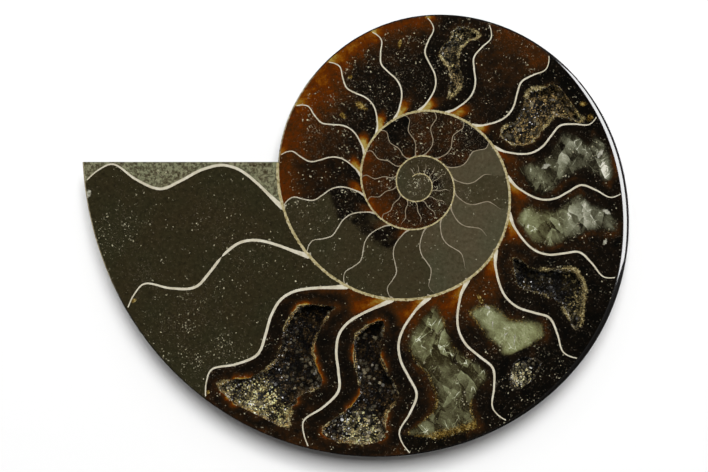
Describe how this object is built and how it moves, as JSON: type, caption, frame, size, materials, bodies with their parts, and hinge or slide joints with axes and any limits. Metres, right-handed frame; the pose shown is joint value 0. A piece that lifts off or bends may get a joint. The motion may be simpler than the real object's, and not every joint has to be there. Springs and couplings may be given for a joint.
{
  "type": "ammonite fossil half",
  "caption": "Sawn and polished half of a coiled ammonite fossil, with wavy chamber walls and crystal-lined open hollows in its flat face.",
  "frame": {"origin": "under the middle of the outline, on the surface that the rounded flank lies on", "axes": "+Z out of the polished face, +X from the sawn aperture's tip across the coil along the longest extent, +Y across the coil"},
  "size_m": [0.1368, 0.1108, 0.018],
  "materials": {
    "stone": "polished",
    "crystal": "glassy crystals"
  },
  "bodies": {
    "root": {"ammonite_half": "stone", "crystal_crust_top": "crystal", "crystal_crust_upper_right": "crystal", "crystal_crust_right": "crystal", "crystal_crust_lower_right": "crystal", "crystal_crust_bottom": "crystal", "crystal_crust_lower_left": "crystal"}
  },
  "joints": []
}
